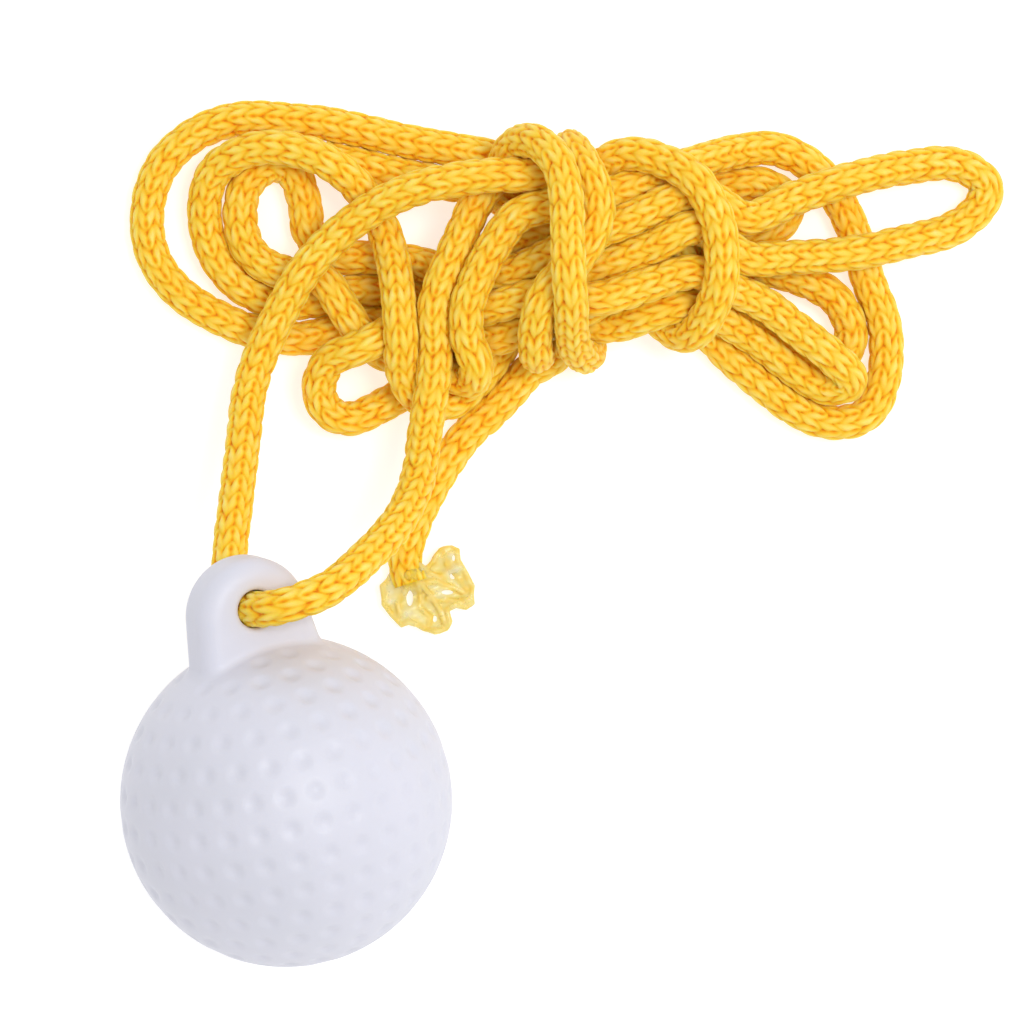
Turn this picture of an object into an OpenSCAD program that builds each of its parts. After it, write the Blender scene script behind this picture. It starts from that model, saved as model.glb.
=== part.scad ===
// Tether ball: a dimpled hollow ball with a moulded lug, on a knitted cord that is
// looped through the lug and tied up in a hank. Millimetres, +Z up. The set lies on
// the plane z = 0, and the origin is the point under the middle of the ball.

/* [Ball] */
// Outside diameter of the ball
ball_d = 50; // [40:1:65]
// Wall thickness of the two moulded shells
wall = 2.4; // [1.6:0.1:4]
// Diameter of the sphere that cuts each dimple
dimple_cut_d = 7; // [5:0.5:12]
// Depth of a dimple below the ball's surface
dimple_depth = 0.32; // [0.1:0.02:0.5]
// Angle from one row of dimples to the next, seen from the ball's middle
dimple_row_angle = 11.15; // [9:0.05:14]
// Radial thickness of the locating lip inside the seam
lip_t = 1.2; // [0.8:0.1:2]
// How far the lip reaches across the seam
lip_reach = 2; // [1:0.1:4]
// Radial gap round the lip
lip_gap = 0.1; // [0.05:0.05:0.3]

/* [Lug] */
// Width of the lug across its round top
lug_w = 18; // [13:0.5:22]
// Spread of each side of the lug towards the ball, in degrees
lug_flare = 8.5; // [0:0.5:12]
// How far the spreading sides sit inside the faces of the straight shank
flare_step = 0.3; // [0.2:0.1:0.6]
// Thickness of the lug along its hole
lug_t = 9; // [7:0.5:12]
// Rounding of the lug's edges
lug_edge_r = 3; // [1.5:0.1:4]
// Middle of the hole above the ball's surface
hole_rise = 6; // [4:0.5:9]
// Drop from the hole's middle to the middle of the lug's round top
top_drop = 1.6; // [0:0.1:3]
// Radial gap between the cord and the hole
hole_gap = 0.4; // [0.3:0.1:1.5]
// Rounding of the hole's two mouths
mouth_r = 1.5; // [0.5:0.1:2.5]

/* [Pose] */
// Lean of the lug to the left, seen from above
lean = 11.5; // [0:0.5:30]
// Rise of the lug above the level
tilt = 13.5; // [0:0.5:40]
// Turn of the hole's axis about the lug
turn = -65; // [-90:1:0]

/* [Cord] */
// Diameter of the knitted cord
cord_d = 5.5; // [4:0.1:6]
// Flat sides of the plain cord tubes
cord_sides = 10; // [8:1:12]
// Strands side by side in the tied bundle
bundle_strands = 5; // [3:1:7]
// Layers of strands in the tied bundle
bundle_layers = 2; // [2:1:3]
// Length of the tied bundle
bundle_len = 34.5; // [30:0.5:50]
// Rounding of the bundle's corners, seen from above
bundle_corner_r = 6; // [3:0.5:10]
// Bend radius of a turn at the bundle's corners, to the cord's middle
turn_bend_r = 6.5; // [5:0.5:8]
// Height of the loose tangle beside the bundle
tangle_h = 11; // [8:0.5:14]
// Thickness of the melted and flattened end
tip_t = 3; // [1.5:0.5:5]

/* [Hidden] */
$fn = 96;
eps = 0.01;

ball_r = ball_d / 2;
inner_r = ball_r - wall;
lug_r = lug_w / 2;
hole_h = ball_r + hole_rise;
top_h = hole_h - top_drop;
hole_d = cord_d + 2 * hole_gap;
lip_outer_r = inner_r + wall / 2 - lip_gap;
dimple_cut_r = dimple_cut_d / 2;
dimple_centre = ball_r - dimple_depth + dimple_cut_r;
dimple_half = acos((ball_r * ball_r + dimple_centre * dimple_centre - dimple_cut_r * dimple_cut_r)
                   / (2 * ball_r * dimple_centre));

// Dimple rows of one shell, from the seam to the pole: [dimples in the row, first angle].
dimple_rows = [[32, 0], [32, 0], [28, 0], [24, 0], [20, 0], [16, 0], [10, 18], [4, 45]];

// Tied bundle: its middle, and its section in strands.
bundle_w = bundle_strands * cord_d;
bundle_h = bundle_layers * cord_d;
bundle_mid = [51.75, 85, cord_d + bundle_h / 2];

// Places of the three turns along the bundle, and how far each is skewed.
turn_left_x = -11;
turn_middle_x = -5;
turn_right_x = 12;
turn_skew = 5;

// Corners of the tangle's outline, seen from above, and the rounding there.
tangle_r = 4;
tangle_outline = [[18, 64.5], [28, 63.5], [30.5, 70], [30.5, 92], [24, 92.5], [17.5, 88]];

// Routes of the cord's loose stretches, each along its middle.
tether_route = [
  [36, 95.5, 13.5], [27, 94.5, 14.3], [17, 92, 14.5], [8.5, 86.5, 14], [1, 79, 13],
  [-4, 69, 11], [-6.5, 58, 13], [-7.7, 46, 18.5], [-8.6, 37, 23.5], [-8.5, 31.7, 26.5],
  [-6.3, 29.5, 31.5], [-4, 29, 36.5], [-0.2, 29.7, 40], [6.5, 32, 39], [12.5, 37, 33],
  [17.5, 44, 24.5], [20.5, 52, 17.5], [22, 61, 14], [22, 72, 14], [24, 81, 14], [27.5, 88, 9]];
tail_route = [[32, 62.5, 6], [29, 56, 5], [23.5, 48, 4], [18.7, 40.5, 3], [17.5, 33, 3]];
outer_route = [
  [15.5, 72, 3], [6, 71, 3], [-5, 71, 3], [-14, 74.5, 3], [-20, 80, 3], [-22.3, 87.5, 3],
  [-20.5, 96, 3], [-14, 102.3, 3], [-4, 104.3, 3], [9, 102, 3], [22, 99.3, 3], [32, 96.5, 3]];
inner_route = [
  [15.5, 88, 8.6], [12, 92.3, 8.6], [5.5, 97.5, 8.8], [-5, 99.3, 8.8], [-11.5, 95.5, 6],
  [-14, 88.5, 4], [-11, 81, 3], [-3, 76.7, 3], [6, 76.6, 3], [15.5, 77.6, 3]];
core_route = [
  [15.5, 83.4, 3], [7, 84.8, 3], [2.3, 88.5, 3], [1, 93, 3], [-3, 95, 3], [-7, 92, 3],
  [-7.7, 87, 3], [-4, 83.3, 3.3], [2, 80.8, 6.5], [9, 80.3, 8.3], [15.5, 80.3, 8.3]];
small_route = [
  [17, 67.5, 6.5], [9.5, 66.3, 5.5], [5, 64, 4], [4.8, 59.8, 3], [10, 57.7, 3], [17, 61.5, 3]];
long_route = [
  [67, 83, 13.6], [75, 82, 10.5], [86, 83, 9], [96, 85.5, 6], [104, 89, 3], [106.3, 93, 3],
  [103, 96.8, 3], [94, 96.8, 5.5], [84.5, 94.5, 9], [76, 91.3, 10.5], [67, 88.8, 13.6]];
low_route = [
  [67, 94.5, 8.3], [71.5, 98, 5], [77.5, 98.5, 3], [84.5, 91.5, 3], [88.5, 80, 3], [91.5, 68, 3],
  [90.5, 59.5, 3], [84, 56.5, 3], [76, 59, 3], [70, 62.7, 3], [66.5, 66, 4]];
fold_route = [
  [67, 75.5, 8.3], [71, 70.5, 4], [77, 65.3, 3], [83.5, 62, 3], [86.3, 64, 6], [83, 66.8, 8.8],
  [74.5, 73, 10], [67, 77.5, 13.5]];
short_route = [
  [67, 88.8, 8], [72.5, 83.5, 4], [79, 79.5, 3], [84, 75, 3], [81.5, 70, 3], [76, 73.8, 3.2],
  [72.3, 77.5, 4.5], [67, 83, 8]];

// Lobes of the melted end: where each reaches, and its radius.
tip_root = [17.5, 32];
tip_lobes = [[25.5, 36.5, 1.8], [27.5, 31, 1.4], [23, 26.2, 1.8], [17, 27, 1.8], [14.5, 32.5, 1.3]];

function unit(v) = v / norm(v);
function along(route, i) =
  unit(route[min(i + 1, len(route) - 1)] - route[max(i - 1, 0)]);

// One ring of points square to the route, numbered about the route's direction.
function ring(route, i) =
  let (t = along(route, i), side = unit(cross(t, [0, 0, 1])), up = cross(side, t))
  [for (k = [0 : cord_sides - 1])
    let (turned = 360 * (k + 0.5) / cord_sides)
    route[i] + cord_d / 2 * (cos(turned) * side + sin(turned) * up)];

// The plain tube of a stretch of cord: rings joined by flat faces, closed at both ends.
module cord_tube(route) {
  rings = len(route);
  points = [for (i = [0 : rings - 1]) each ring(route, i)];
  walls = [for (i = [0 : rings - 2]) for (k = [0 : cord_sides - 1])
    let (next = (k + 1) % cord_sides, a = i * cord_sides, b = a + cord_sides)
    each [[a + k, a + next, b + k], [b + k, a + next, b + next]]];
  first = [for (k = [cord_sides - 1 : -1 : 0]) k];
  last = [for (k = [0 : cord_sides - 1]) (rings - 1) * cord_sides + k];
  color("gold") polyhedron(points, concat([first], walls, [last]));
}

// Puts the ball, modelled with its lug along +Z and its hole along X, where it lies.
module ball_pose() {
  translate([0, 0, ball_r]) rotate([0, 0, lean]) rotate([tilt - 90, 0, 0]) rotate([0, 0, turn])
    children();
}

// True where a dimple at this place would run into the lug.
function under_lug(polar, spin) =
  let (x = ball_r * sin(polar) * cos(spin), y = ball_r * sin(polar) * sin(spin),
       edge = ball_r * sin(dimple_half) + lug_edge_r / 4,
       spread = (top_h - ball_r * cos(polar)) * tan(lug_flare))
  abs(x) < lug_t / 2 + edge && abs(y) < lug_r + spread + edge;

// The dimples of the shell on one side of the seam: side is 1 by the lug and -1 opposite.
module dimples(side) {
  for (row = [0 : len(dimple_rows) - 1]) {
    count = dimple_rows[row][0];
    polar = 90 - side * dimple_row_angle * (row + 0.5);
    for (i = [0 : count - 1]) {
      spin = dimple_rows[row][1] + 360 * i / count;
      if (side < 0 || !under_lug(polar, spin))
        rotate([0, polar, spin]) translate([0, 0, dimple_centre]) sphere(r = dimple_cut_r);
    }
  }
}

// Half of the hollow ball, on one side of the seam.
module half_ball(side) {
  intersection() {
    sphere(r = ball_r);
    translate([0, 0, side * ball_r]) cube(2 * ball_r, center = true);
  }
}

// The lug's cross-section: a slab with rounded corners.
module lug_section(thick, width) {
  square([thick, width - 2 * lug_edge_r], center = true);
  square([thick - 2 * lug_edge_r, width], center = true);
  for (x = [-1, 1]) for (y = [-1, 1])
    translate([x * (thick / 2 - lug_edge_r), y * (width / 2 - lug_edge_r)]) circle(r = lug_edge_r);
}

// The lug: a straight shank, two sides that spread towards the ball, and a round top.
module lug_body() {
  linear_extrude(top_h) lug_section(lug_t, lug_w);
  for (side = [-1, 1])
    translate([0, 0, top_h]) rotate([side * lug_flare, 0, 0]) translate([0, 0, -top_h])
      linear_extrude(top_h) lug_section(lug_t - 2 * flare_step, lug_w - 2 * flare_step);
  translate([0, 0, top_h]) rotate([0, 90, 0]) rotate_extrude()
    intersection() {
      rotate([0, 0, 90]) lug_section(lug_t, lug_w);
      translate([0, -lug_t]) square([lug_r, 2 * lug_t]);
    }
}

// The hole through the lug, with a rounded mouth on each face.
module lug_hole() {
  translate([0, 0, hole_h]) rotate([0, 90, 0]) {
    cylinder(d = hole_d, h = 2 * lug_t, center = true);
    for (side = [-1, 1]) scale([1, 1, side])
      translate([0, 0, lug_t / 2]) rotate_extrude() difference() {
        translate([0, -mouth_r]) square([hole_d / 2 + mouth_r, mouth_r + eps]);
        translate([hole_d / 2 + mouth_r, -mouth_r]) circle(r = mouth_r);
      }
  }
}

// The shell that carries the lug, and the lip that locates the other shell.
module ball_lug_shell() {
  color("lavender") ball_pose() difference() {
    union() {
      difference() {
        union() {
          half_ball(1);
          lug_body();
        }
        sphere(r = inner_r);
        translate([0, 0, -ball_r]) cube(2 * ball_r, center = true);
        dimples(1);
      }
      translate([0, 0, -lip_reach]) difference() {
        cylinder(r = lip_outer_r, h = lip_reach + lip_t);
        translate([0, 0, -eps]) cylinder(r = lip_outer_r - lip_t, h = lip_reach + lip_t + 2 * eps);
      }
    }
    lug_hole();
  }
}

// The plain shell, with a rebate round its rim for the lip.
module ball_base_shell() {
  color("lavender") ball_pose() difference() {
    half_ball(-1);
    sphere(r = inner_r);
    translate([0, 0, -lip_reach - lip_gap])
      cylinder(r = lip_outer_r + lip_gap, h = lip_reach + lip_gap + eps);
    dimples(-1);
  }
}

module tether_strands() { cord_tube(tether_route); }
module free_tail() { cord_tube(tail_route); }
module outer_loop() { cord_tube(outer_route); }
module inner_loop() { cord_tube(inner_route); }
module core_loop() { cord_tube(core_route); }
module small_loop() { cord_tube(small_route); }
module long_loop() { cord_tube(long_route); }
module low_loop() { cord_tube(low_route); }
module fold_loop() { cord_tube(fold_route); }
module short_loop() { cord_tube(short_route); }

// The free end, melted into flat ragged lobes.
module melted_end() {
  color("khaki") linear_extrude(tip_t)
    for (lobe = tip_lobes) hull() {
      translate(tip_root) circle(d = cord_d * 0.9);
      translate([lobe[0], lobe[1]]) circle(r = lobe[2]);
    }
}

// The strands inside the turns, as one block with round ends.
module bundle() {
  r = bundle_corner_r;
  color("gold") translate(bundle_mid - [0, 0, bundle_h / 2]) linear_extrude(bundle_h) {
    square([bundle_len - 2 * r, bundle_w], center = true);
    square([bundle_len, bundle_w - 2 * r], center = true);
    for (x = [-1, 1]) for (y = [-1, 1])
      translate([x * (bundle_len / 2 - r), y * (bundle_w / 2 - r)]) circle(r = r);
  }
}

// The crossed strands to the left of the bundle, as one block with rounded corners.
module tangle() {
  color("gold") linear_extrude(tangle_h) hull()
    for (p = tangle_outline) translate(p) circle(r = tangle_r, $fn = 32);
}

// One turn of cord round the bundle: straight runs joined by quarter bends.
module cord_turn(x, skew) {
  r = cord_d / 2;
  half_w = (bundle_w + cord_d) / 2 - turn_bend_r;
  half_h = (bundle_h + cord_d) / 2 - turn_bend_r;
  color("gold") translate(bundle_mid + [x, 0, 0]) rotate([0, 0, skew]) rotate([90, 0, 90]) {
    for (side = [-1, 1]) {
      translate([0, side * (half_h + turn_bend_r), 0]) rotate([0, 90, 0])
        cylinder(r = r, h = 2 * half_w, center = true);
      translate([side * (half_w + turn_bend_r), 0, 0]) rotate([90, 0, 0])
        cylinder(r = r, h = 2 * half_h, center = true);
    }
    for (corner = [0 : 3])
      translate([(corner == 0 || corner == 3 ? 1 : -1) * half_w, (corner < 2 ? 1 : -1) * half_h, 0])
        rotate([0, 0, 90 * corner]) rotate_extrude(angle = 90)
          translate([turn_bend_r, 0]) circle(r = r);
  }
}

module turn_left() { cord_turn(turn_left_x, turn_skew); }
module turn_middle() { cord_turn(turn_middle_x, turn_skew); }
module turn_right() { cord_turn(turn_right_x, -turn_skew); }

ball_lug_shell();
ball_base_shell();
tether_strands();
free_tail();
melted_end();
bundle();
tangle();
turn_left();
turn_middle();
turn_right();
outer_loop();
inner_loop();
core_loop();
small_loop();
long_loop();
low_loop();
fold_loop();
short_loop();
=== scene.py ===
import bpy
import math
import numpy as np
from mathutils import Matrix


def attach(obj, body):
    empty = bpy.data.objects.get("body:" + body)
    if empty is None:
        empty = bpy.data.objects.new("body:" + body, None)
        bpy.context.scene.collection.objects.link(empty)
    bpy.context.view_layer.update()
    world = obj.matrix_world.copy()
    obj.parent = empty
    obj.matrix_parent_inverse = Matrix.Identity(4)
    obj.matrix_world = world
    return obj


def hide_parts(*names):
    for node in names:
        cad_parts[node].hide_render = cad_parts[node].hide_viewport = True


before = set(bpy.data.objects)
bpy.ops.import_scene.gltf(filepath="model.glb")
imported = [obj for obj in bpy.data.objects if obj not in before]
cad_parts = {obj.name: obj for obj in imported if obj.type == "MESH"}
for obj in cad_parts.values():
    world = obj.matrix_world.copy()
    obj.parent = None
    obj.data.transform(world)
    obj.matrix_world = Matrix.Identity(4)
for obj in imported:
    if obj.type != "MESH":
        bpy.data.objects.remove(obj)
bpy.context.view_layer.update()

MM = 0.001                 # the lists below are in millimetres, the scene in metres
SEED = 7
FLOOR_GAP = 0.02           # every surface stays this far above the floor

# ---- Facts of the object, in millimetres ----
BALL_R = 25.0
BALL_CENTRE = np.array([0.0, 0.0, BALL_R])
CORD_D = 5.5
WALES = 6                  # columns of stitches round the cord
STITCH = 2.9               # length of one stitch along the cord
LEG_LEAN = math.radians(24)
LEG_LONG, LEG_WIDE = 2.15, 0.84                 # half the length and half the width of a stitch's leg
LEG_APART = 0.26           # share of a column's width from its middle to a leg
EYE_AT, EYE_WIDE, EYE_LONG = 0.22, 0.36, 0.62   # the small opening where a stitch's two legs part
EYE_DEEP = 0.85
TWIST = 0.004              # radians each millimetre, and the slow sway to either side of it
SWAY, SWAY_LONG = 0.25, 37.0
KNIT_DEPTH = 0.72          # how far the crests stand above the cord's core
CORE_R = CORD_D / 2 - 0.62
LUG_T = 9.0
LUG_R = 9.0
LUG_EDGE = 3.0
LUG_FLARE = math.radians(8.5)
HOLE_H = 31.0              # the hole's middle, up the lug from the ball's middle
TOP_H = 29.4               # the middle of the lug's round top
HOLE_R = 2.85
# How the ball lies: the lug leans to the left, tilts up, and is turned about its own length
LEAN, TILT, SPIN = (math.radians(v) for v in (11.5, 13.5, 25))

# ---- The cord's route, from the melted end to the hidden one, in millimetres ----
ROUTE = {
    "tail up into the hank": [
        (18.3, 32.5, 3), (17.5, 36, 3), (19, 42, 3.5), (22.5, 49, 4), (27.5, 57, 3), (32.3, 63, 3),
        (36, 68.5, 3.5)],
    "first pass to the right": [(41.5, 73.5, 7.5), (49, 75, 8.5), (56.5, 76, 8.5)],
    "folded loop, out": [(63.5, 75, 6), (70, 71, 3), (77, 66.5, 3), (82.5, 63, 3.5)],
    "folded loop, back over itself": [
        (86, 64, 6), (83, 67.5, 9), (78, 71.5, 9), (73, 75.5, 9.5), (68, 78, 11)],
    "second pass, to the left": [
        (62, 80.5, 14), (54.5, 78.5, 14), (47.5, 76, 14), (39.5, 76.5, 12.5), (33, 74.5, 10.5),
        (26, 72, 6.5), (20, 71.5, 3)],
    "small loop": [
        (14.5, 70.5, 3), (9, 69.5, 3), (5.5, 67.5, 3), (4, 63, 3), (5.5, 59.5, 3), (9, 58.5, 3),
        (13.5, 60.5, 3), (17.5, 63, 3)],
    "third pass, to the right": [
        (23, 66, 3), (30, 69.5, 3), (37, 75.5, 6), (43, 80.5, 8.5), (50.5, 83, 8.5), (58, 83.5, 8.5)],
    "short loop": [
        (65, 82, 7), (71.5, 80, 3.5), (78.5, 78.5, 3), (84.5, 75.5, 3), (87, 70.5, 3), (85, 66.5, 3),
        (80.5, 68, 3), (74.5, 73, 3), (69, 76, 4.5)],
    "fourth pass, to the left": [
        (63, 80, 8), (55, 87.5, 8.5), (47.5, 87, 8.5), (40, 83.5, 8), (32, 80, 5), (24.5, 78.5, 3),
        (16.5, 78, 3), (7.5, 76.5, 3)],
    "inner loop": [
        (-0.5, 76, 3), (-6.5, 78, 3), (-11.5, 83, 3), (-13.5, 90, 3.5), (-12, 96, 5),
        (-6, 99.5, 7.5), (0.5, 99.5, 8.5), (7, 97, 8), (12, 92, 4)],
    "down behind the strands": [
        (15, 85.5, 4), (16, 79, 6.5), (16, 73, 6.5), (17, 67, 5.5), (20.5, 62.5, 4), (24.5, 61.5, 3)],
    "fifth pass, to the right": [
        (28, 64.5, 3), (32.5, 71, 3.5), (36, 75, 7), (40.5, 77, 12), (47.5, 81, 14.5), (55, 84, 14.5),
        (62, 87, 14)],
    "long loop": [
        (68, 81.5, 12), (76.5, 82, 9.5), (86, 83, 9), (94.5, 85, 7), (101.5, 87, 4.5),
        (106, 90.5, 3.5), (107, 94, 3.5), (102.5, 97, 4), (94.5, 96.5, 6), (86, 94.5, 8.5),
        (77.5, 91.5, 9.5), (69.5, 88, 12)],
    "sixth pass, to the left": [
        (62, 92, 14.5), (55, 89.5, 14.5), (47.5, 86.5, 14.5), (40.5, 83, 12), (34.5, 80, 9.5),
        (27.5, 78.5, 6), (20.5, 79.5, 3), (13.5, 81, 3), (6.5, 82.5, 3)],
    "core loop": [
        (3, 86, 3), (2, 91.5, 3), (0, 96, 3), (-3.5, 96.5, 3), (-7, 93.5, 3), (-8, 88.5, 3),
        (-6.5, 83, 3), (-2, 80, 3), (4.5, 79.5, 3), (10.5, 74, 3), (16.5, 69.5, 3), (23, 65, 3)],
    "up over the strands": [
        (28, 63, 5.5), (29, 65.5, 9.5), (27.5, 70.5, 11), (28, 76.5, 12), (31, 83.5, 13), (35, 89, 14)],
    "seventh pass, to the right": [(40.5, 91, 14.5), (48, 92.5, 14.5), (56, 95.5, 13), (63, 97.5, 9)],
    "low loop": [
        (68.5, 99, 5), (74.5, 99.5, 3.5), (80.5, 96.5, 3), (84.5, 91, 3), (87, 84.5, 3),
        (88.5, 78, 3), (91, 71, 3), (91.5, 64, 3), (89.5, 58.5, 3), (84.5, 57, 3), (78.5, 59.5, 3),
        (71.5, 65.5, 3), (65, 71.5, 3), (60.5, 76, 5)],
    "eighth pass, to the left": [
        (54.5, 77, 8.5), (47.5, 75, 9), (40.5, 73, 8), (33.5, 71.5, 5), (24.5, 71, 3),
        (16.5, 73.5, 3), (8, 73, 3), (1.5, 71, 3), (-5, 71.5, 3)],
    "outer loop": [
        (-12, 74, 3), (-18, 78, 3), (-21.5, 83, 3), (-22.5, 89.5, 3), (-20.5, 96.5, 3),
        (-15.5, 101.5, 3), (-8.5, 104, 3), (-0.5, 103.5, 3), (8, 102, 3), (16.5, 100, 3),
        (25, 98.5, 3), (33, 96.5, 3)],
    "under the hank, to the right": [(40, 91, 3), (48, 84, 3), (57, 80.5, 3), (65, 82.5, 3)],
    "back loop": [
        (71, 84.5, 3), (76, 86.5, 3), (78, 90.5, 3), (75, 94, 3), (69.5, 94.5, 3), (63, 92.5, 3)],
    "under the hank, to the turn": [(57.5, 87, 3), (54.5, 81, 3), (55.5, 77, 3.5), (59, 74.5, 5.5)],
    "right turn": [
        (63.3, 76, 11), (65.8, 81, 16.5), (65.5, 87, 18), (63, 92.5, 17.5), (58, 95.3, 14.5),
        (51.5, 95.5, 12.5)],
    "left strand to the ball": [
        (43.5, 95.5, 12.5), (36.5, 95.5, 15), (27.5, 94.5, 16), (18.5, 92.5, 15), (10, 88, 12),
        (3, 81, 10), (-2.5, 72, 9.5), (-6, 63, 10), (-7, 54.5, 14), (-7.8, 46, 18.5),
        (-8.6, 37.5, 23)],
    "through the lug": [(-8.5, 31.7, 26.5), (-6.3, 29.5, 31.5), (-4, 29, 36.5)],
    "right strand from the ball": [
        (-0.2, 29.5, 40), (6.5, 32, 38.5), (12, 36.5, 33), (16.8, 42, 26), (19.5, 48, 19.5),
        (20.5, 56, 13.5), (21, 65, 11.5), (22, 74.5, 12), (25, 82.5, 12.5), (29, 91.5, 10)],
    "left turn": [
        (32.5, 96, 7), (34.2, 99, 12), (37.8, 99.5, 18), (41, 96.2, 22), (42.2, 91, 24),
        (42.3, 85, 25), (42.3, 79.5, 25), (42.3, 74, 21.5), (42.5, 69.5, 13), (43, 71.5, 4)],
    "under the hank again": [(44.5, 82.5, 3), (44, 91.5, 3), (43.3, 95.5, 5)],
    "middle turn": [
        (43, 96.8, 11), (45.6, 94.5, 17.5), (47.6, 90, 20), (46.8, 85.5, 20), (43.5, 81, 19.5),
        (39.5, 77, 18), (37.5, 72.5, 15), (37.5, 69.5, 9), (38, 73, 3)],
    "hidden end": [
        (39, 80.5, 3), (38, 87.5, 3), (33.5, 92, 3), (26.5, 94.5, 3), (19, 96, 3), (11.5, 98, 3),
        (5, 99.5, 3)],
}

# The stretches that lie on top and keep their places
FIRM = ("through the lug", "tail up into the hank", "left turn", "middle turn", "right turn",
        "left strand to the ball", "right strand from the ball", "fifth pass, to the right",
        "sixth pass, to the left", "seventh pass, to the right", "second pass, to the left")


def unit(v):
    return v / np.linalg.norm(v)


# ---- Camera: straight down, as the photograph looks ----
CAMERA_AT = (0.034, 0.0435, 0.925)         # metres
LENS = 210


def make_camera():
    data = bpy.data.cameras.new("camera")
    data.lens = LENS
    data.sensor_width = 36
    data.clip_end = 10
    cam = bpy.data.objects.new("camera", data)
    cam.location = CAMERA_AT
    bpy.context.scene.collection.objects.link(cam)
    bpy.context.scene.camera = cam


# ---- The cord's centreline ----
def resample(line, step):
    """The polyline's points at even spaces of about step."""
    run = np.r_[0, np.cumsum(np.linalg.norm(np.diff(line, axis=0), axis=1))]
    at = np.linspace(0, run[-1], int(round(run[-1] / step)) + 1)
    return np.stack([np.interp(at, run, line[:, k]) for k in range(3)], 1)


def smooth_line(points, step):
    """A centripetal Catmull-Rom curve through the points, resampled evenly."""
    p = np.asarray(points, float)
    p = np.vstack([2 * p[0] - p[1], p, 2 * p[-1] - p[-2]])
    out = []
    for i in range(1, len(p) - 2):
        a, b, c, d = p[i - 1:i + 3]
        t0 = 0.0
        t1 = t0 + np.linalg.norm(b - a) ** 0.5
        t2 = t1 + np.linalg.norm(c - b) ** 0.5
        t3 = t2 + np.linalg.norm(d - c) ** 0.5
        t = np.linspace(t1, t2, 17)[:-1, None]
        ab = (t1 - t) / (t1 - t0) * a + (t - t0) / (t1 - t0) * b
        bc = (t2 - t) / (t2 - t1) * b + (t - t1) / (t2 - t1) * c
        cd = (t3 - t) / (t3 - t2) * c + (t - t2) / (t3 - t2) * d
        abc = (t2 - t) / (t2 - t0) * ab + (t - t0) / (t2 - t0) * bc
        bcd = (t3 - t) / (t3 - t1) * bc + (t - t1) / (t3 - t1) * cd
        out.append((t2 - t) / (t2 - t1) * abc + (t - t1) / (t2 - t1) * bcd)
    return resample(np.vstack(out + [p[-2:-1]]), step)


ROUNDS, PASSES = 240, 3    # of settling, and of corrections in each
HOLD, FIRM_HOLD = 0.03, 0.2   # how firmly every point keeps its place, and what a firm one has more
LET_GO = 0.6               # share of the hold that is gone by the last round
HEIGHT_HOLD = 0.5          # a height is held this much less
SINK = 0.01                # how far the cord sinks in each round
TOUCH = 0.97 * CORD_D      # nearest that two parts of the cord should lie, middle to middle
APART = 1.75 * CORD_D      # points nearer than this along the cord don't press on each other
LOOK, LOOK_EVERY = 1.9 * CORD_D, 20   # how far away a pair is looked for, and after how many rounds
PUSH = 0.35                # share of an overlap taken away at once
CALM = 0.6                 # holds back a point that several others push
CLEAR = 0.1                # gap between the cord and the ball
SLACK = 0.35               # how far from the hole's axis the cord's middle may lie
IN_HOLE = 5.0              # nearer to the hole's axis than this, the cord is taken as inside the hole
TINY = 1e-9


def lengths(v):
    """The length of each row of v."""
    return np.linalg.norm(v, axis=1)


def part_strands(x, i, j):
    """Moves apart the pairs of points that lie in each other."""
    v = x[j] - x[i]
    size = lengths(v) + TINY
    m = size < TOUCH
    push = (v[m].T / size[m] * (TOUCH - size[m]) * PUSH).T
    moved, count = np.zeros_like(x), np.zeros(len(x))
    for end, way in ((i, -1), (j, 1)):
        np.add.at(moved, end[m], way * push)
        np.add.at(count, end[m], 1)
    x += moved / np.maximum(1, count * CALM)[:, None]


def keep_shape(x, start, seg):
    """Brings back the drawn bends, then the drawn lengths."""
    for reach, share in ((1, 0.12), (2, 0.06)):
        bend = (x[:-2 * reach] + x[2 * reach:]) / 2 - x[reach:-reach]
        drawn = (start[:-2 * reach] + start[2 * reach:]) / 2 - start[reach:-reach]
        x[reach:-reach] += (bend - drawn) * share
    for parity in (0, 1):
        a = np.arange(parity, len(x) - 1, 2)
        v = x[a + 1] - x[a]
        size = lengths(v) + TINY
        fix = (v.T * (size - seg[a]) / size * 0.5).T
        x[a] += fix
        x[a + 1] -= fix


def keep_clear(x, lug_axis, hole, hole_axis):
    """Keeps the cord out of the ball, the lug and the floor, and centred in the hole."""
    r = CORD_D / 2
    reach = BALL_R + r + CLEAR
    v = x - BALL_CENTRE
    size = lengths(v)
    m = size < reach
    x[m] += (v[m].T / size[m] * (reach - size[m])).T
    across = np.cross(hole_axis, lug_axis)
    v = x - hole
    deep, up, side = v @ hole_axis, v @ lug_axis, v @ across
    off = np.hypot(up, side)
    inside = (np.abs(deep) < LUG_T / 2 + 0.5) & (off < IN_HOLE)
    back = np.maximum(0, off[inside] - SLACK) / np.maximum(off[inside], 1e-6) * 0.6
    x[inside] -= np.outer(up[inside] * back, lug_axis) + np.outer(side[inside] * back, across)
    near = (off >= IN_HOLE) & (off < LUG_R + r) & (np.abs(deep) < LUG_T / 2 + r) & (np.abs(deep) > 2)
    out = np.sign(deep[near]) * (LUG_T / 2 + r - np.abs(deep[near])) * 0.3
    x[near] += np.outer(out, hole_axis)
    x[:, 2] = np.maximum(x[:, 2], r)


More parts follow.
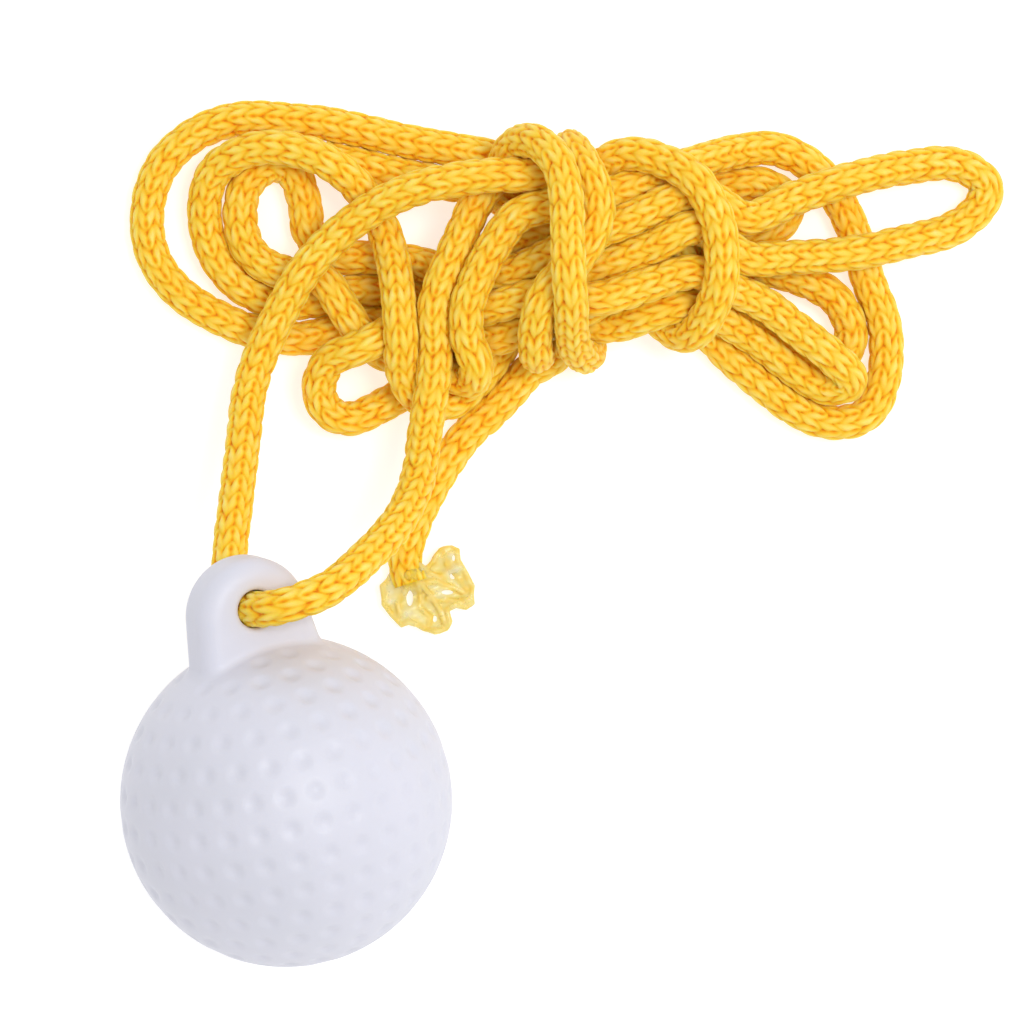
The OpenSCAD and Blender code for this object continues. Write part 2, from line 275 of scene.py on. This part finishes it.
def relax(line, hold, lug_axis, hole, hole_axis):
    """Settles the cord: parts that lie in each other move apart, and it rests on the floor, clear of
    the ball and the lug, while its bends and its length stay as drawn. hold is how firmly each point
    keeps its place."""
    x, start = line.copy(), line.copy()
    seg = lengths(np.diff(line, axis=0))
    first, second = np.triu_indices(len(line), int(np.ceil(APART / seg.mean())) + 1)
    for k in range(ROUNDS):
        if k % LOOK_EVERY == 0:
            near = lengths(x[first] - x[second]) < LOOK
            i, j = first[near], second[near]
        pull = hold[:, None] * (1 - LET_GO * k / ROUNDS)
        x[:, :2] += (start[:, :2] - x[:, :2]) * pull
        x[:, 2:] += (start[:, 2:] - x[:, 2:]) * pull * HEIGHT_HOLD - SINK
        for _ in range(PASSES):
            part_strands(x, i, j)
            keep_shape(x, start, seg)
            keep_clear(x, lug_axis, hole, hole_axis)
    return x


def carried_frames(line):
    """For each point, two directions square to the line, carried along with no needless twist."""
    t = np.gradient(line, axis=0)
    t /= lengths(t)[:, None]
    side = np.zeros_like(t)
    side[0] = unit(np.cross(t[0], (0, 0, 1.0)))
    for k in range(1, len(line)):
        v = side[k - 1] - t[k] * (side[k - 1] @ t[k])
        side[k] = unit(v)
    return side, np.cross(t, side)


# ---- The knitted surface ----
def stitches(along, turn, rng):
    """Height from 0 to 1 of the knitted surface at a place along the cord (mm) and round it (radians),
    with the place on the stitch's leg and the leg's own tone. Each stitch is two leaning legs."""
    width = math.pi * CORD_D / WALES
    column = turn / (2 * math.pi) * WALES
    wale = np.floor(column).astype(int)
    x = (column - wale - 0.5) * width
    wale %= WALES
    offset = rng.uniform(-0.12, 0.12, WALES) + 0.15 * (np.arange(WALES) % 2)
    place = along / STITCH + offset[wale]
    row = np.floor(place).astype(int)
    rows = int(row.max() - row.min()) + 4
    low = int(row.min()) - 1
    tone = rng.uniform(0, 1, (WALES, 2, rows))
    grow = rng.uniform(0.86, 1.0, (WALES, 2, rows))
    slip = rng.uniform(-0.1, 0.1, (WALES, 2, rows))
    best = np.zeros_like(x)
    leg_u, leg_v, leg_tone = np.zeros_like(x), np.zeros_like(x), np.zeros_like(x)
    for k in (-1, 0, 1):
        y = (place - row - 0.5 - k) * STITCH
        at = row + k - low
        for leg, hand in enumerate((-1, 1)):
            dx = x - hand * (LEG_APART * width)
            dy = y - slip[wale, leg, at] * STITCH
            u = dx * hand * math.sin(LEG_LEAN) + dy * math.cos(LEG_LEAN)
            v = dx * math.cos(LEG_LEAN) - dy * hand * math.sin(LEG_LEAN)
            far = np.clip(np.abs(u) / LEG_LONG, 0, 1)
            across = v / (LEG_WIDE * (1 - 0.35 * far ** 2))
            h = np.sqrt(np.clip(1 - across ** 2, 0, 1)) * np.sqrt(np.clip(1 - far ** 3, 0, 1))
            h *= grow[wale, leg, at] * (0.92 - 0.16 * u / LEG_LONG)
            better = h > best
            best = np.where(better, h, best)
            leg_u = np.where(better, u, leg_u)
            leg_v = np.where(better, v, leg_v)
            leg_tone = np.where(better, tone[wale, leg, at], leg_tone)
    level = (place - row - EYE_AT) * STITCH
    for k in (-STITCH, 0, STITCH):
        eye = np.exp(-(x / EYE_WIDE) ** 2 - ((level + k) / EYE_LONG) ** 2)
        best = best * (1 - EYE_DEEP * eye)
    return best, leg_u, leg_v, leg_tone


def pressing_parts(line, coarse, spacing):
    """For each fine point, the nearest places of the cord's other parts that press on it."""
    found = []
    fine_run = np.linspace(0, 1, len(line))
    coarse_run = np.linspace(0, 1, len(coarse))
    away = 2.2 * CORD_D / (spacing * (len(coarse) - 1))
    far, block = 99, 512
    for begin in range(0, len(line), block):
        gap = np.linalg.norm(line[begin:begin + block, None] - coarse[None], axis=2)
        gap[np.abs(fine_run[begin:begin + block, None] - coarse_run[None]) < away] = far
        padded = np.pad(gap, ((0, 0), (1, 1)), constant_values=far)
        lowest = (gap <= padded[:, :-2]) & (gap < padded[:, 2:]) & (gap < CORD_D * 1.02)
        i, j = np.nonzero(lowest)
        found.append(np.stack([i + begin, j], 1))
    return np.vstack(found)


def knitted_tube(name, line, spacing, around):
    """The cord as a knitted mesh tube about its centreline, flattened where it presses."""
    rng = np.random.default_rng(SEED)
    line = resample(line, spacing)
    n = len(line)
    side, up = carried_frames(line)
    k = np.arange(around)
    turn = k / around * 2 * math.pi
    along = np.arange(n) * spacing
    height, leg_u, leg_v, tone = stitches(np.repeat(along, around), np.tile(turn, n), rng)
    radius = (CORE_R + KNIT_DEPTH * height).reshape(n, around)
    twist = TWIST * along + SWAY * np.sin(along / SWAY_LONG)
    angle = turn[None] + twist[:, None]
    spoke = np.cos(angle)[..., None] * side[:, None] + np.sin(angle)[..., None] * up[:, None]
    body = line[:, None] + spoke * radius[..., None]
    coarse_step = 1.0
    coarse = resample(line, coarse_step)
    for i, j in pressing_parts(line, coarse, coarse_step):
        v = coarse[j] - line[i]
        size = np.linalg.norm(v)
        v /= size
        over = (body[i] - line[i]) @ v - size / 2
        body[i] -= np.outer(np.clip(over, 0, None), v)
    body[..., 2] = np.maximum(body[..., 2], FLOOR_GAP)
    points = np.vstack([body.reshape(-1, 3) * MM, line[0] * MM, line[-1] * MM])
    after = (k + 1) % around
    ring = np.arange(n - 1)[:, None] * around
    quads = np.stack([ring + k, ring + after, ring + around + after, ring + around + k], -1)
    quads = quads.reshape(-1, 4)
    last = (n - 1) * around
    start = np.stack([after, k, np.full(around, n * around)], 1)
    finish = np.stack([last + k, last + after, np.full(around, n * around + 1)], 1)
    mesh = mesh_of(name, points, quads, np.vstack([start, finish]))
    fibre = np.stack([leg_u * 0.18 + tone * 40, leg_v + tone * 17, height], 1)
    # crest is the knit's height; the cord's colour ramp turns it into painted shade in the valleys and
    # stitch eyes and a painted highlight on the crests
    give(mesh, "crest", np.r_[height, 0, 0])
    give(mesh, "tone", np.r_[tone, 0.5, 0.5])
    give(mesh, "fibre", np.vstack([fibre, np.zeros((2, 3))]))
    return mesh, line


def mesh_of(name, points, quads, tris=()):
    """A smooth-shaded mesh object from arrays of points and faces."""
    mesh = bpy.data.meshes.new(name)
    corners = np.concatenate([np.ravel(quads), np.ravel(tris)]).astype(np.int32)
    sizes = np.concatenate([np.full(len(quads), 4), np.full(len(tris), 3)]).astype(np.int32)
    mesh.vertices.add(len(points))
    mesh.vertices.foreach_set("co", np.ravel(points).astype(np.float32))
    mesh.loops.add(len(corners))
    mesh.loops.foreach_set("vertex_index", corners)
    mesh.polygons.add(len(sizes))
    starts = np.concatenate([[0], np.cumsum(sizes)[:-1]]).astype(np.int32)
    mesh.polygons.foreach_set("loop_start", starts)
    mesh.update(calc_edges=True)
    mesh.validate()
    mesh.shade_smooth()
    obj = bpy.data.objects.new(name, mesh)
    bpy.context.scene.collection.objects.link(obj)
    return obj


def give(obj, name, values):
    """Stores one number or one vector for each point of the mesh."""
    values = np.asarray(values, np.float32)
    kind = "FLOAT" if values.ndim == 1 else "FLOAT_VECTOR"
    layer = obj.data.attributes.new(name, kind, "POINT")
    layer.data.foreach_set("value" if values.ndim == 1 else "vector", values.ravel())


# ---- Surfaces from a distance function, by surface nets ----
def net_surface(distance, low, high, step, rounds=4):
    """The zero surface of a distance function: points and quads."""
    axes = [np.arange(a, b + step, step) for a, b in zip(low, high)]
    grid = np.stack(np.meshgrid(*axes, indexing="ij"), -1)
    value = np.empty(grid.shape[:3], np.float32)
    for k in range(len(axes[0])):
        value[k] = distance(grid[k].reshape(-1, 3)).reshape(grid.shape[1:3])
    inside = value < 0
    shape = np.array(value.shape) - 1
    corner = [(a, b, c) for a in (0, 1) for b in (0, 1) for c in (0, 1)]
    total = sum(inside[a:a + shape[0], b:b + shape[1], c:c + shape[2]].astype(np.int8)
                for a, b, c in corner)
    cells = np.argwhere((total > 0) & (total < 8))
    at = {c: value[tuple((cells + c).T)] for c in corner}
    place, count = np.zeros((len(cells), 3)), np.zeros(len(cells))
    for c in corner:
        for axis in range(3):
            if c[axis]:
                continue
            d = tuple(np.array(c) + np.eye(3, dtype=int)[axis])
            a, b = at[c], at[d]
            cross = (a < 0) != (b < 0)
            share = np.where(cross, a / np.where(a == b, 1, a - b), 0)
            p = np.tile(np.array(c, float), (len(cells), 1))
            p[:, axis] += share
            place += p * cross[:, None]
            count += cross
    points = np.array(low) + (cells + place / count[:, None]) * step
    index = np.full(tuple(shape), -1, np.int64)
    index[tuple(cells.T)] = np.arange(len(cells))
    quads = []
    for axis in range(3):
        b, c = [k for k in range(3) if k != axis]
        one = np.eye(3, dtype=int)
        lower = inside[tuple(slice(0, -1) if k == axis else slice(1, -1) for k in range(3))]
        upper = inside[tuple(slice(1, None) if k == axis else slice(1, -1) for k in range(3))]
        edge = np.argwhere(lower != upper)
        full = edge + [0 if k == axis else 1 for k in range(3)]
        loop = [full, full - one[b], full - one[b] - one[c], full - one[c]]
        face = np.stack([index[tuple(p.T)] for p in loop], 1)
        out = lower[tuple(edge.T)] == (axis != 1)
        face[~out] = face[~out][:, ::-1]
        quads.append(face)
    for _ in range(rounds):
        points = to_surface(distance, points)
    return points, np.vstack(quads)


def to_surface(distance, points, nudge=0.02):
    """Moves points on to the zero surface along its slope."""
    slope = np.stack([
        distance(points + nudge * e) - distance(points - nudge * e) for e in np.eye(3)], 1) / (2 * nudge)
    size = np.maximum((slope ** 2).sum(1), 0.2)
    return points - slope * (distance(points) / size)[:, None]


def soft_union(a, b, r):
    """a and b joined, the join rounded by r."""
    h = np.clip(0.5 + 0.5 * (b - a) / r, 0, 1)
    return b + (a - b) * h - r * h * (1 - h)


def soft_cut(a, b, r):
    """a with b taken away, the edge rounded by r."""
    return -soft_union(-a, b, r)


# ---- The ball, its lug and its dimples, in the ball's own axes (X along the hole, Z up the lug) ----
# Each row of dimples from the seam to the pole: how many, and where the first one is, in degrees
ROWS = [(32, 0), (32, 0), (28, 0), (24, 0), (20, 0), (16, 0), (10, 18), (4, 45)]
ROW_ANGLE = 11.15          # degrees between rows
DIMPLE_R = 2.0
DIMPLE_DEPTH = 0.4


def lug_distance(p):
    """A slab across the hole's axis, half round at the top, with rounded edges."""
    y, z = np.abs(p[:, 1]), p[:, 2]
    rise = z - TOP_H
    shank = y * math.sin(LUG_FLARE) - rise * math.cos(LUG_FLARE) > 0
    outline = np.where(shank, y * math.cos(LUG_FLARE) + rise * math.sin(LUG_FLARE), np.hypot(y, rise))
    outline += LUG_EDGE - LUG_R
    face = np.abs(p[:, 0]) - LUG_T / 2 + LUG_EDGE
    out = np.hypot(np.maximum(outline, 0), np.maximum(face, 0)) + np.minimum(np.maximum(outline, face), 0)
    return np.maximum(out - LUG_EDGE, -z)


def ball_distance(p):
    """The ball joined to its lug, less the hole."""
    ball = np.linalg.norm(p, axis=1) - BALL_R
    solid = soft_union(ball, lug_distance(p), 1.1)
    bore = np.hypot(p[:, 1], p[:, 2] - HOLE_H) - HOLE_R
    return soft_cut(solid, bore, 0.9)


def dimple_places():
    """Directions of the dimples' middles, as rows parallel to the seam."""
    out = []
    for side in (1, -1):
        for row, (count, first) in enumerate(ROWS):
            polar = math.radians(90 - side * ROW_ANGLE * (row + 0.5))
            for k in range(count):
                spin = math.radians(first + 360 * k / count)
                out.append((math.sin(polar) * math.cos(spin), math.sin(polar) * math.sin(spin),
                            math.cos(polar)))
    return np.array(out)


def ball_mesh(axes):
    """The ball with its lug and dimples, in the frame's axes."""
    points, quads = net_surface(ball_distance, (-26, -26, -26), (26, 26, 41), 0.34)
    places = dimple_places() * BALL_R
    clear = lug_distance(points) > 1.0
    on_ball = (np.linalg.norm(points, axis=1) < BALL_R + 0.2) & clear
    sunk = np.zeros(len(points))
    for p in places:
        if lug_distance(p[None])[0] < DIMPLE_R * 0.9:
            continue
        gap = np.linalg.norm(points - p, axis=1)
        m = on_ball & (gap < DIMPLE_R)
        sunk[m] = np.maximum(sunk[m], 0.5 + 0.5 * np.cos(math.pi * gap[m] / DIMPLE_R))
    points = points * (1 - DIMPLE_DEPTH * sunk / BALL_R)[:, None]
    obj = mesh_of("ball_and_lug", (BALL_CENTRE + points @ axes) * MM, quads)
    give(obj, "sunk", sunk)
    return obj


# ---- The melted end ----
MELT_RIM = [
    (16, 34.5), (14, 32), (14.2, 29.3), (15.5, 27.6), (17, 26), (18, 26.5), (19.3, 26.2), (20.5, 25.4),
    (22, 25), (23.8, 25.4), (24.4, 26.7), (24, 28.3), (25.3, 29.2), (26.9, 28.7), (27.8, 29.5),
    (27.8, 32), (26.8, 34), (25.7, 36), (25.6, 37.6), (24.7, 38), (22.9, 37.6), (21.9, 36),
    (20.7, 34.6), (19.6, 35.4)]
MELT_RIDGES = [
    [(18, 34), (17.6, 31.5), (16.4, 29.5), (16.6, 27.5)],
    [(19, 33.5), (19.8, 31), (19.8, 28.8), (21.5, 27.2), (21, 26)],
    [(19.5, 33), (21.6, 30.6), (23, 28), (23.6, 26)],
    [(21, 30.2), (23.6, 29.8), (27, 29.8)],
    [(20.4, 32.6), (22.6, 32.8), (24.8, 31.8), (26.6, 31)],
    [(21, 34.2), (23, 33.6), (23.4, 32.8)],
    [(23.6, 37.4), (24, 35.4), (25.8, 33.2), (27.2, 31.4)]]
# Each hole's middle, half its width and half its height
MELT_HOLES = [(18.2, 30.2, 0.5, 1.2), (22, 27, 0.4, 0.5), (24, 31.1, 0.9, 0.35), (25, 33.6, 0.6, 0.5),
              (25.1, 36.4, 0.35, 0.5), (20.3, 34, 0.3, 0.4)]

FILM = 0.17                # half the film's thickness
RIM_BEAD, RIDGE_BEAD, BEAD_JOIN = 0.42, 0.40, 0.35   # radii of the beads, and of their joins with the film


def melt_height(x, y):
    """How high the film lies: it curls up here and there."""
    waves = 0.55 * np.sin(0.9 * x + 0.5) * np.cos(0.8 * y) + 0.25 * np.sin(2.3 * y - 1.1 * x)
    return 2.0 + waves + 3.4 * over_cord(x, y)


def over_cord(x, y):
    """Near 1 where the film rises over the cord's end, 0 elsewhere."""
    return np.exp(-((x - 18.2) ** 2 + (y - 33.6) ** 2) / 5.0)


def chain_distance(p, chain, radius):
    """Distance from points to a rounded bead that follows a chain of places on the film."""
    nodes = np.array([(x, y, melt_height(x, y)) for x, y in chain])
    d = np.full(len(p), 9.0)
    for a, b in zip(nodes[:-1], nodes[1:]):
        v = b - a
        s = np.clip((p - a) @ v / (v @ v), 0, 1)
        d = np.minimum(d, np.linalg.norm(p - a - s[:, None] * v, axis=1))
    return d - radius * (1 + 0.18 * np.sin(2.1 * p[:, 0] + 1.7 * p[:, 1]))


def outline_distance(p, rim):
    """Signed distance in the plan to the outline: negative inside it."""
    d = np.full(len(p), 9.0)
    inside = np.zeros(len(p), bool)
    for a, b in zip(rim, np.roll(rim, -1, axis=0)):
        v = b - a
        s = np.clip((p[:, :2] - a) @ v / (v @ v), 0, 1)
        d = np.minimum(d, np.linalg.norm(p[:, :2] - a - s[:, None] * v, axis=1))
        crosses = (a[1] > p[:, 1]) != (b[1] > p[:, 1])
        level = a[0] + (p[:, 1] - a[1]) * v[0] / (v[1] if v[1] else 1e-9)
        inside ^= crosses & (p[:, 0] < level)
    return np.where(inside, -d, d)


def melted_distance(p):
    """A thin film with thick ragged rims, ridges and small holes."""
    rim = np.array(MELT_RIM)
    film = np.maximum(np.abs(p[:, 2] - melt_height(p[:, 0], p[:, 1])) - FILM, outline_distance(p, rim))
    for x, y, wide, tall in MELT_HOLES:
        hole = (np.hypot((p[:, 0] - x) / wide, (p[:, 1] - y) / tall) - 1) * min(wide, tall)
        film = np.maximum(film, -hole)
    d = soft_union(film, chain_distance(p, [*MELT_RIM, MELT_RIM[0]], RIM_BEAD), BEAD_JOIN)
    for ridge in MELT_RIDGES:
        d = soft_union(d, chain_distance(p, ridge, RIDGE_BEAD), BEAD_JOIN)
    return d


def melted_mesh():
    """The free end, melted and set."""
    points, quads = net_surface(melted_distance, (12.5, 23.5, 0), (29.5, 39.5, 7), 0.16, rounds=3)
    points[:, 2] = np.maximum(points[:, 2], FLOOR_GAP)
    obj = mesh_of("melted_tip", points * MM, quads)
    ridges = [chain_distance(points, c, 0) for c in ([*MELT_RIM, MELT_RIM[0]], *MELT_RIDGES)]
    rim = np.exp(-np.clip(np.min(ridges, axis=0), 0, 9) / 0.5)
    give(obj, "rim", np.maximum(rim, over_cord(points[:, 0], points[:, 1])))
    return obj


# ---- Materials ----
def new_material(name):
    m = bpy.data.materials.new(name)
    m.use_nodes = True
    nodes, links = m.node_tree.nodes, m.node_tree.links
    return m, nodes, links, nodes["Principled BSDF"]


def add(nodes, kind, **settings):
    node = nodes.new(kind)
    for key, value in settings.items():
        if key in node.inputs:
            node.inputs[key].default_value = value
        else:
            setattr(node, key, value)
    return node


def ramp(nodes, stops):
    node = nodes.new("ShaderNodeValToRGB")
    node.color_ramp.elements.remove(node.color_ramp.elements[1])
    node.color_ramp.elements[0].position = stops[0][0]
    node.color_ramp.elements[0].color = (*stops[0][1], 1)
    for at, colour in stops[1:]:
        node.color_ramp.elements.new(at).color = (*colour, 1)
    return node


def cord_material():
    m, nodes, links, shader = new_material("knitted_cord")
    crest = add(nodes, "ShaderNodeAttribute", attribute_name="crest")
    tone = add(nodes, "ShaderNodeAttribute", attribute_name="tone")
    fibre = add(nodes, "ShaderNodeAttribute", attribute_name="fibre")
    streak = add(nodes, "ShaderNodeTexNoise", Scale=9.0, Detail=3.0)
    links.new(fibre.outputs["Vector"], streak.inputs["Vector"])
    # Painted shade and painted highlight: the colour runs from deep orange where the knit is lowest, in
    # the valleys and stitch eyes where shade falls, to pale yellow on the crests where the light catches
    # them
    height = ramp(nodes, [
        (0.0, (0.84, 0.30, 0.0)), (0.3, (0.96, 0.46, 0.002)), (0.55, (0.98, 0.62, 0.025)),
        (0.8, (0.99, 0.73, 0.12)), (1.0, (1.0, 0.84, 0.32))])
    links.new(crest.outputs["Fac"], height.inputs["Fac"])
    tint = ramp(nodes, [(0.0, (1.0, 0.93, 0.7)), (1.0, (1.0, 1.0, 1.0))])
    links.new(tone.outputs["Fac"], tint.inputs["Fac"])
    mix = add(nodes, "ShaderNodeMix", data_type="RGBA", blend_type="MULTIPLY")
    mix.inputs["Factor"].default_value = 1.0
    links.new(height.outputs["Color"], mix.inputs[6])
    links.new(tint.outputs["Color"], mix.inputs[7])
    fine = ramp(nodes, [(0.3, (0.97, 0.9, 0.75)), (0.7, (1.0, 1.0, 1.0))])
    links.new(streak.outputs["Fac"], fine.inputs["Fac"])
    mix2 = add(nodes, "ShaderNodeMix", data_type="RGBA", blend_type="MULTIPLY")
    mix2.inputs["Factor"].default_value = 1.0
    links.new(mix.outputs[2], mix2.inputs[6])
    links.new(fine.outputs["Color"], mix2.inputs[7])
    links.new(mix2.outputs[2], shader.inputs["Base Color"])
    rough = add(nodes, "ShaderNodeMapRange")
    rough.inputs["To Min"].default_value = 0.42
    rough.inputs["To Max"].default_value = 0.62
    links.new(streak.outputs["Fac"], rough.inputs["Value"])
    links.new(rough.outputs["Result"], shader.inputs["Roughness"])
    bump = add(nodes, "ShaderNodeBump", Strength=0.5, Distance=0.0001)
    links.new(streak.outputs["Fac"], bump.inputs["Height"])
    links.new(bump.outputs["Normal"], shader.inputs["Normal"])
    shader.inputs["Subsurface Weight"].default_value = 0.5
    shader.inputs["Subsurface Radius"].default_value = (1.0, 0.5, 0.06)
    shader.inputs["Subsurface Scale"].default_value = 0.002
    shader.inputs["Sheen Weight"].default_value = 0.05
    shader.inputs["Sheen Roughness"].default_value = 0.5
    shader.inputs["Specular IOR Level"].default_value = 0.22
    return m


def ball_material():
    m, nodes, links, shader = new_material("ball_plastic")
    place = add(nodes, "ShaderNodeTexCoord")
    cloud = add(nodes, "ShaderNodeTexNoise", Scale=60.0, Detail=3.0)
    grain = add(nodes, "ShaderNodeTexNoise", Scale=2600.0, Detail=2.0)
    for tex in (cloud, grain):
        links.new(place.outputs["Object"], tex.inputs["Vector"])
    base = ramp(nodes, [(0.3, (0.67, 0.675, 0.755)), (0.7, (0.70, 0.70, 0.79))])
    links.new(cloud.outputs["Fac"], base.inputs["Fac"])
    links.new(base.outputs["Color"], shader.inputs["Base Color"])
    rough = add(nodes, "ShaderNodeMapRange")
    rough.inputs["To Min"].default_value = 0.42
    rough.inputs["To Max"].default_value = 0.56
    links.new(cloud.outputs["Fac"], rough.inputs["Value"])
    links.new(rough.outputs["Result"], shader.inputs["Roughness"])
    bump = add(nodes, "ShaderNodeBump", Strength=0.25, Distance=0.00004)
    links.new(grain.outputs["Fac"], bump.inputs["Height"])
    links.new(bump.outputs["Normal"], shader.inputs["Normal"])
    shader.inputs["Subsurface Weight"].default_value = 0.15
    shader.inputs["Subsurface Radius"].default_value = (1.0, 0.9, 0.8)
    shader.inputs["Subsurface Scale"].default_value = 0.002
    return m


def melted_material():
    m, nodes, links, shader = new_material("melted_cord")
    rim = add(nodes, "ShaderNodeAttribute", attribute_name="rim")
    place = add(nodes, "ShaderNodeTexCoord")
    cloud = add(nodes, "ShaderNodeTexNoise", Scale=500.0, Detail=3.0)
    links.new(place.outputs["Object"], cloud.inputs["Vector"])
    blend = add(nodes, "ShaderNodeMath", operation="ADD", use_clamp=True)
    part = add(nodes, "ShaderNodeMath", operation="MULTIPLY")
    part.inputs[1].default_value = 0.6
    links.new(cloud.outputs["Fac"], part.inputs[0])
    links.new(part.outputs[0], blend.inputs[0])
    links.new(rim.outputs["Fac"], blend.inputs[1])
    base = ramp(nodes, [(0.25, (0.96, 0.88, 0.60)), (0.6, (0.97, 0.80, 0.30)), (1.0, (0.98, 0.66, 0.06))])
    links.new(blend.outputs[0], base.inputs["Fac"])
    links.new(base.outputs["Color"], shader.inputs["Base Color"])
    rough = add(nodes, "ShaderNodeMapRange")
    rough.inputs["To Min"].default_value = 0.18
    rough.inputs["To Max"].default_value = 0.4
    links.new(cloud.outputs["Fac"], rough.inputs["Value"])
    links.new(rough.outputs["Result"], shader.inputs["Roughness"])
    bump = add(nodes, "ShaderNodeBump", Strength=0.3, Distance=0.0002)
    links.new(cloud.outputs["Fac"], bump.inputs["Height"])
    links.new(bump.outputs["Normal"], shader.inputs["Normal"])
    shader.inputs["Transmission Weight"].default_value = 0.2
    shader.inputs["Subsurface Weight"].default_value = 0.5
    shader.inputs["Subsurface Radius"].default_value = (1.0, 0.8, 0.3)
    shader.inputs["Subsurface Scale"].default_value = 0.001
    shader.inputs["IOR"].default_value = 1.45
    return m


def floor_material():
    m, _, _, shader = new_material("floor")
    shader.inputs["Base Color"].default_value = (0.6, 0.6, 0.6, 1)
    shader.inputs["Roughness"].default_value = 0.9
    shader.inputs["Specular IOR Level"].default_value = 0.1
    shader.inputs["Emission Color"].default_value = (1, 1, 1, 1)
    shader.inputs["Emission Strength"].default_value = 0.62
    return m


# ---- Stage and light ----
def make_stage():
    """A white floor just under the part, white surroundings and one lamp."""
    size, level = 3.0, -0.0002
    points = [(-size, -size, level), (size, -size, level), (size, size, level), (-size, size, level)]
    floor = mesh_of("floor", points, [(0, 1, 2, 3)])
    floor.data.materials.append(floor_material())
    world = bpy.data.worlds.new("studio")
    world.use_nodes = True
    world.node_tree.nodes["Background"].inputs["Color"].default_value = (1, 1, 1, 1)
    world.node_tree.nodes["Background"].inputs["Strength"].default_value = 0.67
    bpy.context.scene.world = world
    lamp("key", (0.38, 0.16, 1.05), 0.35, 5.4)
    bpy.context.scene.view_settings.view_transform = "Standard"


def lamp(name, place, size, power):
    """A square lamp that looks at the middle of the part."""
    data = bpy.data.lights.new(name, "AREA")
    data.size = size
    data.energy = power
    obj = bpy.data.objects.new(name, data)
    obj.location = place
    back = place - np.array([0.03, 0.04, 0.02])
    obj.rotation_euler = (math.acos(unit(back)[2]), 0, math.atan2(back[1], back[0]) + math.pi / 2)
    bpy.context.scene.collection.objects.link(obj)


def build():
    make_camera()
    lug_axis = np.array([-math.sin(LEAN) * math.cos(TILT), math.cos(LEAN) * math.cos(TILT),
                         math.sin(TILT)])
    level = np.array([math.cos(LEAN), math.sin(LEAN), 0])
    facing = np.cross(level, lug_axis)
    hole_axis = facing * math.cos(SPIN) + level * math.sin(SPIN)
    hole = BALL_CENTRE + HOLE_H * lug_axis
    points = np.array([p for stretch in ROUTE.values() for p in stretch], float)
    firm = np.concatenate([np.full(len(v), float(k in FIRM)) for k, v in ROUTE.items()])
    drawn = smooth_line(points, 2.0)
    nearest = np.linalg.norm(drawn[:, None] - points[None], axis=2).argmin(1)
    line = relax(drawn, HOLD + FIRM_HOLD * firm[nearest], lug_axis, hole, hole_axis)
    line = smooth_line(line, 0.5)
    spacing, around = ((0.27, 80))
    cord, path = knitted_tube("cord_knit", line, spacing, around)
    cord.data.materials.append(cord_material())
    tip = melted_mesh()
    tip.data.materials.append(melted_material())
    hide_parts(*[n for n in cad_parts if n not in
                        ("ball_lug_shell", "ball_base_shell", "melted_end")])
    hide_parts("melted_end")
    for piece, slot in ((cord, "knitted_cord"), (tip, "melted_cord")):
        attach(piece, "cord")
    side = np.cross(lug_axis, hole_axis)
    ball = ball_mesh(np.array([hole_axis, side, lug_axis]))
    ball.data.materials.append(ball_material())
    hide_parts("ball_lug_shell", "ball_base_shell")
    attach(ball, "ball")
    make_stage()


build()
bpy.context.view_layer.update()
